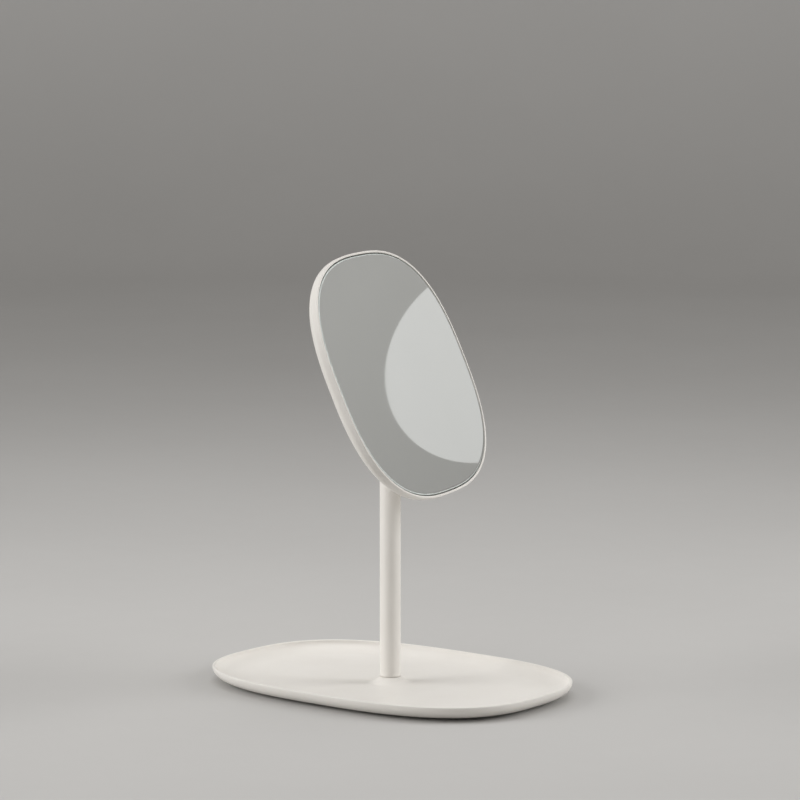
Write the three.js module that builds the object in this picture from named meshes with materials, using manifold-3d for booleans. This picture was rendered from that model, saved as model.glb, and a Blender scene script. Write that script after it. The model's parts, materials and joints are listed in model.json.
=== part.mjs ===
// Countertop mirror: a pressed steel tray, a round tube stem and a tilting, swivelling mirror head.
// Millimetres, +Z up. The origin is on the stem's axis, on the plane that the base pad rests on,
// and the tray's long side lies along X.

import * as THREE from 'three';
import { mergeVertices } from 'three/addons/utils/BufferGeometryUtils.js';
import Module from 'manifold-3d';

// ---------------------------------------------------------------- driving dimensions

// Tray: a rounded oblong dish pressed from one sheet.
const TRAY = { halfLength: 120.5, halfWidth: 82.7, power: 2.76 };
const SHEET = 2.0;
const PAD_THICKNESS = 1.4;
const FLOOR_TOP = PAD_THICKNESS + SHEET;
const RIM_TOP = 10.4;
const RIM_EDGE = 1.8;
const RIM_ROUND = 0.7;
const INNER_FILLET_RUN = 15;
const OUTER_FILLET_RUN = 11;
const PAD_INSET = 15;

// Collar drawn up in the middle of the tray, which carries the stem.
const COLLAR_TOP = 7.5;
const COLLAR_TOP_RADIUS = 6.9;
const COLLAR_BASE_RADIUS = 15.5;
const COLLAR_TOP_SLOPE = 45;
const RECESS_RADIUS = 6.2;
const RECESS_STEP = 0.5;
const RECESS_SLOPE = 3;
const SCREW_HOLE_RADIUS = 3.3;

// Stem tube and what is pressed into its two ends.
const STEM_RADIUS = 6.75;
const STEM_WALL = 1.5;
const STEM_BORE_RADIUS = STEM_RADIUS - STEM_WALL;
const PLUG_RADIUS = STEM_BORE_RADIUS - 0.1;
const STEM_END = 165;

// Swivel and tilt joint.
const PIVOT_HEIGHT = 178;
const SWIVEL_PIN_RADIUS = 3.5;
const SWIVEL_DISC_HEIGHT = 3.2;
const EYE_RADIUS = 5.8;
const EYE_HALF_WIDTH = 2.6;
const EAR_RADIUS = 5.6;
const EAR_THICKNESS = 1.8;
const EAR_GAP = 1.0;
const HINGE_BOLT_RADIUS = 2.5;
const BRACKET_PLATE = 1.6;

// Mirror head, in its own frame: X out of the glass, Y across, Z up in the glass's plane.
const GLASS = { halfLength: 104, halfWidth: 80.4, power: 2.67 };
const GLASS_THICKNESS = 4;
const GLASS_BEVEL = 0.8;
const GLASS_FRONT = 20;
const GLASS_CENTRE_UP = 21.8;
const PAN_GAP = 0.6;
const PAN_LIP = 1.5;
const PAN_DEPTH = 9;
const PAN_FILLET_RUN = 9;
const PAN_FILLET_RISE = 6;
const PAN_LIP_ROUND = 0.5;
const PAN = {
  halfLength: GLASS.halfLength + PAN_GAP + PAN_LIP,
  halfWidth: GLASS.halfWidth + PAN_GAP + PAN_LIP,
  power: GLASS.power,
};
const PAN_FRONT = GLASS_FRONT + 0.3;
const PAN_BACK = GLASS_FRONT - PAN_DEPTH;
const FOAM_THICKNESS = GLASS_FRONT - GLASS_THICKNESS - (PAN_BACK + PAN_LIP) - 0.2;

// Rest pose: the head is swivelled from the tray's long side and tilted back.
const SWIVEL_REST = THREE.MathUtils.degToRad(15.5);
const TILT_REST = THREE.MathUtils.degToRad(22.9);

// Facets round a full circle on the two dishes, and on small turned pieces.
const DISH_FACETS = 80;
const ROUND_FACETS = 32;

// ---------------------------------------------------------------- materials

function finish(color, roughness, metalness) {
  return new THREE.MeshStandardMaterial({ color, roughness, metalness });
}

const powderCoat = () => finish(0xe6e1da, 0.5, 0.0);
const mirrorGlass = () => finish(0xdfe4e2, 0.03, 1.0);
const padRubber = () => finish(0x2c2b2a, 0.85, 0.0);
const foam = () => finish(0x3a3a3c, 0.95, 0.0);
const zincSteel = () => finish(0xa9abae, 0.35, 1.0);
const nylon = () => finish(0xeeeae2, 0.55, 0.0);

// ---------------------------------------------------------------- scene graph

const root = new THREE.Group();
const swivel = new THREE.Group();
const head = new THREE.Group();
swivel.rotation.z = SWIVEL_REST;
head.position.z = PIVOT_HEIGHT;
head.rotation.y = -TILT_REST;
root.add(swivel);
swivel.add(head);

function addPiece(parent, name, geometry, material) {
  const mesh = new THREE.Mesh(geometry, material);
  mesh.name = name;
  parent.add(mesh);
  return mesh;
}

// ---------------------------------------------------------------- shape helpers

// Distance from the centre to a superellipse outline in the direction of an angle.
function outlineRadius(outline, inset, angle) {
  const across = Math.abs(Math.cos(angle)) / (outline.halfLength - inset);
  const along = Math.abs(Math.sin(angle)) / (outline.halfWidth - inset);
  const sum = Math.pow(across, outline.power) + Math.pow(along, outline.power);
  return Math.pow(sum, -1 / outline.power);
}

// Arc of an ellipse from one angle to another, as [radius, height] pairs.
function ellipseArc(centre, semiAxes, fromDegrees, toDegrees, steps) {
  const points = [];
  for (let i = 0; i <= steps; i += 1) {
    const t = THREE.MathUtils.degToRad(fromDegrees + ((toDegrees - fromDegrees) * i) / steps);
    points.push([centre[0] + semiAxes[0] * Math.cos(t), centre[1] + semiAxes[1] * Math.sin(t)]);
  }
  return points;
}

// Body of revolution about Z from a counter-clockwise [radius, height] profile.
function turned(profile, facets = ROUND_FACETS) {
  const points = profile.map(([radius, height]) => new THREE.Vector2(radius, height));
  return new THREE.LatheGeometry(points, facets).rotateX(Math.PI / 2);
}

// Closed ring profile between two radii and two heights, turned about Z.
function ring(inner, outer, low, high, facets = ROUND_FACETS) {
  const profile = [[inner, low], [outer, low], [outer, high], [inner, high], [inner, low]];
  return turned(profile, facets);
}

// A turned profile whose rim is drawn out from a circle to a superellipse outline.
// Rings inside the round radius stay round; the others keep their inset from the outline.
function dish(profile, outline, roundRadius = 0) {
  const geometry = turned(profile, DISH_FACETS);
  const position = geometry.attributes.position;
  for (let i = 0; i < position.count; i += 1) {
    const x = position.getX(i);
    const y = position.getY(i);
    const radius = Math.hypot(x, y);
    if (radius > roundRadius + 1e-6) {
      const angle = Math.atan2(y, x);
      const stretched = outlineRadius(outline, outline.halfLength - radius, angle);
      position.setXY(i, stretched * Math.cos(angle), stretched * Math.sin(angle));
    }
  }
  geometry.computeVertexNormals();
  return geometry;
}

// Flat shape extruded along Z from one height to another.
function slab(shape, low, high, curveSegments = 12) {
  const options = { depth: high - low, bevelEnabled: false, curveSegments };
  return new THREE.ExtrudeGeometry(shape, options).translate(0, 0, low);
}

// Closed superellipse outline as a flat shape.
function outlinePath(outline, inset) {
  const points = [];
  for (let i = 0; i < DISH_FACETS; i += 1) {
    const angle = (2 * Math.PI * i) / DISH_FACETS;
    const radius = outlineRadius(outline, inset, angle);
    points.push(new THREE.Vector2(radius * Math.cos(angle), radius * Math.sin(angle)));
  }
  return new THREE.Shape(points);
}

function circleHole(x, y, radius) {
  return new THREE.Path().absarc(x, y, radius, 0, 2 * Math.PI, true);
}

function polygon(radius, sides) {
  const points = [];
  for (let i = 0; i < sides; i += 1) {
    const angle = (2 * Math.PI * i) / sides;
    points.push(new THREE.Vector2(radius * Math.cos(angle), radius * Math.sin(angle)));
  }
  return new THREE.Shape(points);
}

// ---------------------------------------------------------------- booleans

const wasm = await Module();
wasm.setup();

function toSolid(geometry) {
  const plain = geometry.clone();
  plain.deleteAttribute('normal');
  plain.deleteAttribute('uv');
  const merged = mergeVertices(plain, 1e-4);
  const vertProperties = new Float32Array(merged.attributes.position.array);
  const triVerts = new Uint32Array(merged.index.array);
  return new wasm.Manifold(new wasm.Mesh({ numProp: 3, vertProperties, triVerts }));
}

function toGeometry(solid) {
  const mesh = solid.getMesh();
  const geometry = new THREE.BufferGeometry();
  geometry.setAttribute('position', new THREE.BufferAttribute(new Float32Array(mesh.vertProperties), 3));
  geometry.setIndex(new THREE.BufferAttribute(new Uint32Array(mesh.triVerts), 1));
  geometry.computeVertexNormals();
  return geometry;
}

function join(first, ...others) {
  return toGeometry(others.reduce((sum, geometry) => sum.add(toSolid(geometry)), toSolid(first)));
}

function cut(first, ...others) {
  return toGeometry(others.reduce((rest, geometry) => rest.subtract(toSolid(geometry)), toSolid(first)));
}

// ---------------------------------------------------------------- tray and stem (fixed)

// The sheet runs out from the screw hole, up the slanted wall to the rim, and back in over the floor.
function makeTray() {
  const rim = TRAY.halfLength;
  const outerWall = ellipseArc([rim - OUTER_FILLET_RUN, RIM_TOP - RIM_ROUND],
    [OUTER_FILLET_RUN, RIM_TOP - RIM_ROUND - PAD_THICKNESS], -90, 0, 6);
  const rimEdge = ellipseArc([rim - RIM_EDGE / 2, RIM_TOP - RIM_ROUND],
    [RIM_EDGE / 2, RIM_ROUND], 0, 180, 3);
  const innerWall = ellipseArc([rim - INNER_FILLET_RUN, RIM_TOP - RIM_ROUND],
    [INNER_FILLET_RUN - RIM_EDGE, RIM_TOP - RIM_ROUND - FLOOR_TOP], 0, -90, 6);
  const sweep = THREE.MathUtils.degToRad(COLLAR_TOP_SLOPE);
  const collarRun = (COLLAR_BASE_RADIUS - COLLAR_TOP_RADIUS) / Math.sin(sweep);
  const collarRise = (COLLAR_TOP - FLOOR_TOP) / (1 - Math.cos(sweep));
  const collar = ellipseArc([COLLAR_BASE_RADIUS, FLOOR_TOP + collarRise],
    [collarRun, collarRise], 270, 270 - COLLAR_TOP_SLOPE, 4);
  const recessTop = COLLAR_TOP - SHEET;
  const profile = [
    [SCREW_HOLE_RADIUS, recessTop],
    [RECESS_RADIUS, recessTop],
    [RECESS_RADIUS + RECESS_STEP, FLOOR_TOP],
    [RECESS_RADIUS + RECESS_SLOPE, PAD_THICKNESS],
    ...outerWall,
    ...rimEdge.slice(1),
    ...innerWall.slice(1),
    ...collar,
    [SCREW_HOLE_RADIUS, COLLAR_TOP],
    [SCREW_HOLE_RADIUS, recessTop],
  ];
  return dish(profile, TRAY, COLLAR_BASE_RADIUS);
}

addPiece(root, 'base_tray', makeTray(), powderCoat());
addPiece(root, 'base_pad', slab(outlinePath(TRAY, PAD_INSET), 0, PAD_THICKNESS), padRubber());

const PLUG_LENGTH = 20;
const SCREW_RADIUS = 2.9;
const SCREW_HEAD_RADIUS = 5.2;
const STEM_WASHER = 1.0;
const SCREW_HEAD_TOP = COLLAR_TOP - SHEET - STEM_WASHER;
const SCREW_HEAD_BOTTOM = PAD_THICKNESS + 0.5;
const SCREW_TIP = COLLAR_TOP + 12;
const HEX_KEY_RADIUS = 2.0;
const HEX_KEY_DEPTH = 1.4;
const THREAD_GAP = 0.15;
const WASHER_GAP = 0.3;

addPiece(root, 'stem_tube', ring(STEM_BORE_RADIUS, STEM_RADIUS, COLLAR_TOP, STEM_END, 48), powderCoat());

// Threaded plug pressed into the foot of the tube; the stem screw comes up into it.
function makeFootPlug() {
  const bore = SCREW_RADIUS + THREAD_GAP;
  const low = COLLAR_TOP;
  const high = low + PLUG_LENGTH;
  const lead = 0.5;
  return turned([
    [bore, low], [PLUG_RADIUS - lead, low], [PLUG_RADIUS, low + lead], [PLUG_RADIUS, high - lead],
    [PLUG_RADIUS - lead, high], [bore, high], [bore, low],
  ]);
}

addPiece(root, 'stem_foot_plug', makeFootPlug(), zincSteel());

// Low-head screw with a hexagon socket, turned head down.
function makeStemScrew() {
  const edge = 0.6;
  const point = 0.8;
  const shank = turned([
    [0, SCREW_HEAD_BOTTOM], [SCREW_HEAD_RADIUS - edge, SCREW_HEAD_BOTTOM],
    [SCREW_HEAD_RADIUS, SCREW_HEAD_BOTTOM + edge], [SCREW_HEAD_RADIUS, SCREW_HEAD_TOP],
    [SCREW_RADIUS, SCREW_HEAD_TOP], [SCREW_RADIUS, SCREW_TIP - point],
    [SCREW_RADIUS - point, SCREW_TIP], [0, SCREW_TIP],
  ]);
  const socket = slab(polygon(HEX_KEY_RADIUS, 6), SCREW_HEAD_BOTTOM - 1,
    SCREW_HEAD_BOTTOM + HEX_KEY_DEPTH);
  return cut(shank, socket);
}

addPiece(root, 'stem_screw', makeStemScrew(), zincSteel());
addPiece(root, 'stem_washer',
  ring(SCREW_RADIUS + WASHER_GAP, RECESS_RADIUS - 0.2, SCREW_HEAD_TOP, COLLAR_TOP - SHEET), zincSteel());

// Flanged plain bearing pressed into the top of the tube.
const BUSH_LENGTH = 16;
const FLANGE_HEIGHT = 1.0;
const RUNNING_GAP = 0.08;
const BUSH_BORE = SWIVEL_PIN_RADIUS + RUNNING_GAP;

function makeSwivelBush() {
  const low = STEM_END - BUSH_LENGTH;
  const top = STEM_END + FLANGE_HEIGHT;
  return turned([
    [BUSH_BORE, low], [PLUG_RADIUS - 0.4, low], [PLUG_RADIUS, low + 0.6], [PLUG_RADIUS, STEM_END],
    [STEM_RADIUS, STEM_END], [STEM_RADIUS, top], [BUSH_BORE, top], [BUSH_BORE, low],
  ]);
}

addPiece(root, 'swivel_bush', makeSwivelBush(), nylon());

// ---------------------------------------------------------------- swivel head (turns on the stem)

const DISC_LOW = STEM_END + FLANGE_HEIGHT + 0.1;
const DISC_HIGH = DISC_LOW + SWIVEL_DISC_HEIGHT;
const PIN_END = STEM_END - BUSH_LENGTH - 8;
const THREAD_TOP = STEM_END - BUSH_LENGTH - 2.2;
const PIN_THREAD_RADIUS = 2.9;
const PIN_POINT = 0.5;
const DISC_FOOT_EDGE = 0.3;
const DISC_TOP_EDGE = 0.6;
const EYE_SUNK = 1;
const NUT_HEIGHT = 4;
const NUT_CORNER_RADIUS = 4.4;

// A round disc on the bush's flange, a pin down through the bush and a flat upright eye.
function makeSwivelHead() {
  const body = turned([
    [0, PIN_END], [PIN_THREAD_RADIUS - PIN_POINT, PIN_END],
    [PIN_THREAD_RADIUS, PIN_END + PIN_POINT], [PIN_THREAD_RADIUS, THREAD_TOP],
    [SWIVEL_PIN_RADIUS, THREAD_TOP], [SWIVEL_PIN_RADIUS, DISC_LOW],
    [STEM_RADIUS - DISC_FOOT_EDGE, DISC_LOW], [STEM_RADIUS, DISC_LOW + DISC_FOOT_EDGE],
    [STEM_RADIUS, DISC_HIGH - DISC_TOP_EDGE], [STEM_RADIUS - DISC_TOP_EDGE, DISC_HIGH],
    [0, DISC_HIGH],
  ]);
  const eye = new THREE.Shape();
  eye.moveTo(-EYE_RADIUS, DISC_HIGH - EYE_SUNK - PIVOT_HEIGHT);
  eye.lineTo(EYE_RADIUS, DISC_HIGH - EYE_SUNK - PIVOT_HEIGHT);
  eye.lineTo(EYE_RADIUS, 0);
  eye.absarc(0, 0, EYE_RADIUS, 0, Math.PI, false);
  eye.closePath();
  eye.holes.push(circleHole(0, 0, HINGE_BOLT_RADIUS + RUNNING_GAP));
  const upright = slab(eye, -EYE_HALF_WIDTH, EYE_HALF_WIDTH, 14).rotateX(Math.PI / 2);
  upright.translate(0, 0, PIVOT_HEIGHT);
  return join(body, upright);
}

addPiece(swivel, 'swivel_head', makeSwivelHead(), powderCoat());

// Friction stack under the bush, hidden in the tube: wear washer, disc spring and locking nut.
const CLEAR = 0.1;
const SPRING_STACK = 1.3;
const SPRING_SHEET = 0.6;
const WEAR_RADIUS = 4.8;
const WEAR_TOP = STEM_END - BUSH_LENGTH - CLEAR;
const WEAR_LOW = WEAR_TOP - 0.8;
const SPRING_LOW = WEAR_LOW - SPRING_STACK;

addPiece(swivel, 'swivel_wear_washer',
  ring(SWIVEL_PIN_RADIUS + CLEAR, WEAR_RADIUS, WEAR_LOW, WEAR_TOP), nylon());

// Coned ring: its outer edge bears up on the washer and its inner edge down on the nut.
function makeDiscSpring(inner, outer, low, high) {
  const flat = 0.4;
  return turned([
    [inner, low], [inner + flat, low], [outer, high - SPRING_SHEET], [outer, high],
    [outer - flat, high], [inner, low + SPRING_SHEET], [inner, low],
  ]);
}

addPiece(swivel, 'swivel_disc_spring',
  makeDiscSpring(SWIVEL_PIN_RADIUS + CLEAR, WEAR_RADIUS - CLEAR, SPRING_LOW, WEAR_LOW), zincSteel());

function makeHexNut(bore, cornerRadius, low, high) {
  const hexagon = polygon(cornerRadius, 6);
  hexagon.holes.push(circleHole(0, 0, bore));
  return slab(hexagon, low, high, 10);
}

const NUT_TOP = SPRING_LOW - CLEAR;
addPiece(swivel, 'swivel_lock_nut',
  makeHexNut(PIN_THREAD_RADIUS + CLEAR, NUT_CORNER_RADIUS, NUT_TOP - NUT_HEIGHT, NUT_TOP), zincSteel());

// ---------------------------------------------------------------- tilt hinge

// Pieces round the hinge bolt are made along Z and turned so that their axis runs across the head.
function alongHinge(geometry) {
  return geometry.rotateX(Math.PI / 2);
}

const EAR_INNER = EYE_HALF_WIDTH + EAR_GAP;
const EAR_OUTER = EAR_INNER + EAR_THICKNESS;
const WASHER_INNER = EYE_HALF_WIDTH + CLEAR;
const WASHER_OUTER = EAR_INNER - CLEAR;

for (const [side, name] of [[1, 'hinge_washer_left'], [-1, 'hinge_washer_right']]) {
  const low = side > 0 ? -WASHER_OUTER : WASHER_INNER;
  const washer = ring(HINGE_BOLT_RADIUS + CLEAR, EAR_RADIUS - 0.2, low, low + WASHER_OUTER - WASHER_INNER);
  const piece = addPiece(swivel, name, alongHinge(washer), nylon());
  piece.position.z = PIVOT_HEIGHT;
}

// Bent bracket: two ears beside the eye, joined to a plate that lies flat on the pan's back.
const PLATE_FRONT = PAN_BACK - 0.15;
const PLATE_BACK = PLATE_FRONT - BRACKET_PLATE;
const PLATE = { halfWidth: 17, low: -10, high: 30, corner: 4 };
const EAR_SUNK = 0.4;
const SCREW_SHANK = 1.9;
const SCREW_HOLE_GAP = 0.25;
const SCREW_HEAD = { radius: 3.5, height: 2.0, shoulder: 3.3, shoulderHeight: 1.3, crown: 2.4 };
const SCREW_PLACES = [
  { y: -12, z: -4 },
  { y: 12, z: -4 },
  { y: -12, z: 24 },
  { y: 12, z: 24 },
];

// Turns a shape's x to Y, its y to Z, and its height to X, out of the glass.
const FACE_OUT = new THREE.Matrix4().makeBasis(
  new THREE.Vector3(0, 1, 0), new THREE.Vector3(0, 0, 1), new THREE.Vector3(1, 0, 0));

// A flat shape drawn across and up the head, laid between two depths.
function facing(shape, back, front, segments = 10) {
  return slab(shape, back, front, segments).applyMatrix4(FACE_OUT);
}

function roundedRectangle(left, low, right, high, corner) {
  const shape = new THREE.Shape();
  shape.moveTo(left + corner, low);
  shape.lineTo(right - corner, low);
  shape.absarc(right - corner, low + corner, corner, -Math.PI / 2, 0, false);
  shape.lineTo(right, high - corner);
  shape.absarc(right - corner, high - corner, corner, 0, Math.PI / 2, false);
  shape.lineTo(left + corner, high);
  shape.absarc(left + corner, high - corner, corner, Math.PI / 2, Math.PI, false);
  shape.lineTo(left, low + corner);
  shape.absarc(left + corner, low + corner, corner, Math.PI, 1.5 * Math.PI, false);
  return shape;
}

function makeBracket() {
  const outline = roundedRectangle(-PLATE.halfWidth, PLATE.low, PLATE.halfWidth, PLATE.high, PLATE.corner);
  for (const { y, z } of SCREW_PLACES) {
    outline.holes.push(circleHole(y, z, SCREW_SHANK + SCREW_HOLE_GAP));
  }
  const plate = facing(outline, PLATE_BACK, PLATE_FRONT, 5);
  const ears = [-1, 1].map((side) => {
    const ear = new THREE.Shape();
    ear.moveTo(0, -EAR_RADIUS);
    ear.lineTo(PLATE_FRONT - EAR_SUNK, -EAR_RADIUS - 2);
    ear.lineTo(PLATE_FRONT - EAR_SUNK, EAR_RADIUS + 4);
    ear.lineTo(0, EAR_RADIUS);
    ear.absarc(0, 0, EAR_RADIUS, Math.PI / 2, 1.5 * Math.PI, false);
    ear.holes.push(circleHole(0, 0, HINGE_BOLT_RADIUS + THREAD_GAP));
    const low = side > 0 ? -EAR_OUTER : EAR_INNER;
    return alongHinge(slab(ear, low, low + EAR_THICKNESS, 12));
  });
  return join(plate, ...ears);
}

addPiece(head, 'hinge_bracket', makeBracket(), powderCoat());

// Hinge bolt: a domed head with a hexagon socket on one side, a nut and a spring washer on the other.
const BOLT_HEAD_RADIUS = 4.6;
const BOLT_HEAD_HEIGHT = 2.6;
const BOLT_NUT_HEIGHT = 3.6;
const BOLT_POINT = 0.6;
const BOLT_PROUD = 1.0;

function makeHingeBolt() {
  const tip = EAR_OUTER + SPRING_STACK + BOLT_NUT_HEIGHT + BOLT_PROUD;
  const under = -EAR_OUTER - CLEAR;
  const crown = under - BOLT_HEAD_HEIGHT;
  const dome = [[0, crown], [3.0, crown], [4.2, crown + 0.8], [BOLT_HEAD_RADIUS, crown + 1.8]];
  const bolt = turned([
    ...dome, [BOLT_HEAD_RADIUS, under], [HINGE_BOLT_RADIUS, under],
    [HINGE_BOLT_RADIUS, tip - BOLT_POINT], [HINGE_BOLT_RADIUS - BOLT_POINT, tip], [0, tip],
  ]);
  const socket = slab(polygon(1.7, 6), crown - 1, crown + 1.5);
  return alongHinge(cut(bolt, socket));
}

addPiece(head, 'hinge_bolt', makeHingeBolt(), zincSteel());
addPiece(head, 'hinge_spring_washer', alongHinge(makeDiscSpring(
  HINGE_BOLT_RADIUS + CLEAR, WEAR_RADIUS, EAR_OUTER + CLEAR, EAR_OUTER + SPRING_STACK)), zincSteel());
addPiece(head, 'hinge_nut', alongHinge(makeHexNut(HINGE_BOLT_RADIUS + CLEAR, BOLT_HEAD_RADIUS,
  EAR_OUTER + SPRING_STACK + CLEAR, EAR_OUTER + SPRING_STACK + BOLT_NUT_HEIGHT)), zincSteel());

// ---------------------------------------------------------------- mirror head

// A dish made about Z is turned to face along X, with its long side across, and raised to its place.
function headFace(geometry) {
  return geometry.applyMatrix4(FACE_OUT).translate(0, 0, GLASS_CENTRE_UP);
}

const PAN_HOLE_RADIUS = SCREW_SHANK + SCREW_HOLE_GAP;

// Shallow pan: flat back, wall rounding forward to a thin lip that stands just proud of the glass.
function makePan() {
  const edge = PAN.halfLength;
  const wallTop = PAN_BACK + PAN_FILLET_RISE;
  const floor = PAN_BACK + PAN_LIP;
  const outerWall = ellipseArc([edge - PAN_FILLET_RUN, wallTop],
    [PAN_FILLET_RUN, wallTop - PAN_BACK], -90, 0, 5);
  const innerWall = ellipseArc([edge - PAN_FILLET_RUN, wallTop],
    [PAN_FILLET_RUN - PAN_LIP, wallTop - floor], 0, -90, 4);
  const lip = ellipseArc([edge - PAN_LIP / 2, PAN_FRONT - PAN_LIP_ROUND],
    [PAN_LIP / 2, PAN_LIP_ROUND], 0, 180, 3);
  const pan = headFace(dish([
    [0, PAN_BACK],
    ...outerWall,
    ...lip,
    ...innerWall,
    [0, floor],
  ], PAN, 0));
  const holes = SCREW_PLACES.map(({ y, z }) => facing(
    new THREE.Shape().absarc(y, z, PAN_HOLE_RADIUS, 0, 2 * Math.PI, false), PAN_BACK - 1, floor + 1, 6));
  return cut(pan, ...holes);
}

addPiece(head, 'mirror_pan', makePan(), powderCoat());

// Glass with a small ground edge round its front; the silvering is on its back.
function makeGlass() {
  const edge = GLASS.halfLength;
  const back = GLASS_FRONT - GLASS_THICKNESS;
  const seam = 0.3;
  return headFace(dish([
    [0, back], [edge - seam, back], [edge, back + seam], [edge, GLASS_FRONT - GLASS_BEVEL / 2],
    [edge - GLASS_BEVEL, GLASS_FRONT], [0, GLASS_FRONT],
  ], GLASS, 0));
}

addPiece(head, 'mirror_glass', makeGlass(), mirrorGlass());

// Closed-cell foam sheet, sticky on both faces, between the pan's floor and the glass.
const FOAM_BACK = PAN_BACK + PAN_LIP + CLEAR;
const FOAM_INSET = 10;
const NUT_PLATE = { halfWidth: 19, low: -12, high: 32, corner: 3, thickness: 2.2 };

function makeFoam() {
  const sheet = headFace(slab(outlinePath(GLASS, FOAM_INSET), FOAM_BACK, FOAM_BACK + FOAM_THICKNESS));
  const room = 1;
  const outline = roundedRectangle(-NUT_PLATE.halfWidth - room, NUT_PLATE.low - room,
    NUT_PLATE.halfWidth + room, NUT_PLATE.high + room, NUT_PLATE.corner + room);
  const window = facing(outline, FOAM_BACK - room, FOAM_BACK + FOAM_THICKNESS + room, 4);
  return cut(sheet, window);
}

addPiece(head, 'foam_sheet', makeFoam(), foam());

// Steel plate with four threaded holes inside the pan, which the bracket screws pull up to.
function makeNutPlate() {
  const outline = roundedRectangle(-NUT_PLATE.halfWidth, NUT_PLATE.low,
    NUT_PLATE.halfWidth, NUT_PLATE.high, NUT_PLATE.corner);
  for (const { y, z } of SCREW_PLACES) {
    outline.holes.push(circleHole(y, z, SCREW_SHANK + CLEAR));
  }
  return facing(outline, FOAM_BACK, FOAM_BACK + NUT_PLATE.thickness, 5);
}

addPiece(head, 'nut_plate', makeNutPlate(), zincSteel());

// Pan-head screws with a hexagon socket, driven forward through the bracket and the pan.
function makeBracketScrew() {
  const under = PLATE_BACK - CLEAR;
  const crown = under - SCREW_HEAD.height;
  const tip = FOAM_BACK + NUT_PLATE.thickness + 0.6;
  const point = 0.5;
  const screw = turned([
    [0, crown], [SCREW_HEAD.crown, crown], [SCREW_HEAD.shoulder, under - SCREW_HEAD.shoulderHeight],
    [SCREW_HEAD.radius, under], [SCREW_SHANK, under],
    [SCREW_SHANK, tip - point], [SCREW_SHANK - point, tip], [0, tip],
  ], 20);
  const socket = slab(polygon(1.3, 6), crown - 1, crown + 1.1);
  return cut(screw, socket).applyMatrix4(FACE_OUT);
}

SCREW_PLACES.forEach(({ y, z }, index) => {
  const screw = addPiece(head, `bracket_screw_${index + 1}`, makeBracketScrew(), zincSteel());
  screw.position.set(0, y, z);
});

export default root;
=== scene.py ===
"""Looks of the countertop mirror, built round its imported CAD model. Metres, +Z up."""

import json
import math

import bmesh
import bpy
from mathutils import Matrix, Vector


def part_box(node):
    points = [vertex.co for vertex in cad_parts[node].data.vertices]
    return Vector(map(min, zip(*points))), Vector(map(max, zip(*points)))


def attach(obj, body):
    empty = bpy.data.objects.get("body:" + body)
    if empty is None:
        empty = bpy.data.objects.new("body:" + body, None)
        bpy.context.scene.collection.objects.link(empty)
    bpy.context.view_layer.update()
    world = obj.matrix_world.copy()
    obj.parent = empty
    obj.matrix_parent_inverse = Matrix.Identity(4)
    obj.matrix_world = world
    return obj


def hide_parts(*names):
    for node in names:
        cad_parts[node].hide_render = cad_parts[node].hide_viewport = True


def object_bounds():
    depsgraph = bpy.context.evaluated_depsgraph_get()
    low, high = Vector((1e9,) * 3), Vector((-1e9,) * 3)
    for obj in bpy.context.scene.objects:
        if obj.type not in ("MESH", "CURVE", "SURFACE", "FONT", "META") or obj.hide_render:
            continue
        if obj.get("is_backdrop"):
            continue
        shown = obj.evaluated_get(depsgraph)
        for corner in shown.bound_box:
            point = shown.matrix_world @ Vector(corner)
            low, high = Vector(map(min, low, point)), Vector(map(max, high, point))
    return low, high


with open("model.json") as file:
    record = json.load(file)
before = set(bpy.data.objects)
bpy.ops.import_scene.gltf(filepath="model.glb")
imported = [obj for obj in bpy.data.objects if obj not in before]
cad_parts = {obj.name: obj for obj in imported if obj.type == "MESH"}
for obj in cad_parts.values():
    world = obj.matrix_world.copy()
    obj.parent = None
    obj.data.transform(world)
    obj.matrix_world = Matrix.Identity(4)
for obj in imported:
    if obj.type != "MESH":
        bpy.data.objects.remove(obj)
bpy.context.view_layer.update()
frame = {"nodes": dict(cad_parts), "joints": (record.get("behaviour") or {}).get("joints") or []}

MM = 0.001

# ------------------------------------------------------------------ sizes

# Taken from the frame.
tray_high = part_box("base_tray")[1]
pad_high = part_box("base_pad")[1]
stem_low, stem_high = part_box("stem_tube")
bush_low, bush_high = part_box("swivel_bush")
swivel_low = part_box("swivel_head")[0]
joints = {joint["name"]: joint for joint in frame["joints"]}
pivot = Vector(joints["mirror_tilt"]["pos_m"])
tilt_axis = Vector(joints["mirror_tilt"]["axis"])

# Outlines: half length, half width and superellipse power.
TRAY = (tray_high.x, tray_high.y, 2.76)
GLASS = (104 * MM, 80.4 * MM, 2.67)
PAN_OUTSIDE_GLASS = 2.1 * MM
PAN = (GLASS[0] + PAN_OUTSIDE_GLASS, GLASS[1] + PAN_OUTSIDE_GLASS, GLASS[2])

SHEET = 2.0 * MM
PAD_TOP = pad_high.z
FLOOR_TOP = PAD_TOP + SHEET
RIM_TOP = tray_high.z
RIM_EDGE = 1.8 * MM
RIM_ROUND = 0.7 * MM
INNER_FILLET_RUN = 15 * MM
OUTER_FILLET_RUN = 11 * MM
COLLAR_TOP = stem_low.z
COLLAR_TOP_RADIUS = 6.9 * MM
COLLAR_BASE_RADIUS = 15.5 * MM
COLLAR_TOP_SLOPE = 45
COLLAR_LIP = 0.2 * MM
RECESS_RADIUS = 6.2 * MM
RECESS_STEP = 0.5 * MM
RECESS_SLOPE = 3 * MM
SCREW_HOLE_RADIUS = 3.3 * MM

STEM_RADIUS = stem_high.x
STEM_END = stem_high.z
STEM_WALL = 1.5 * MM
STEM_GROOVE = 0.7 * MM
PLUG_RADIUS = STEM_RADIUS - STEM_WALL - 0.1 * MM

# The gap between pieces that touch, how far a cutter stands out past what it cuts, and the narrow
# flat ring beside a fillet that keeps the fillet's shading off the flat.
GAP = 0.1 * MM
OVERSHOOT = 1 * MM
SUPPORT_RING = 1.5 * MM

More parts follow.
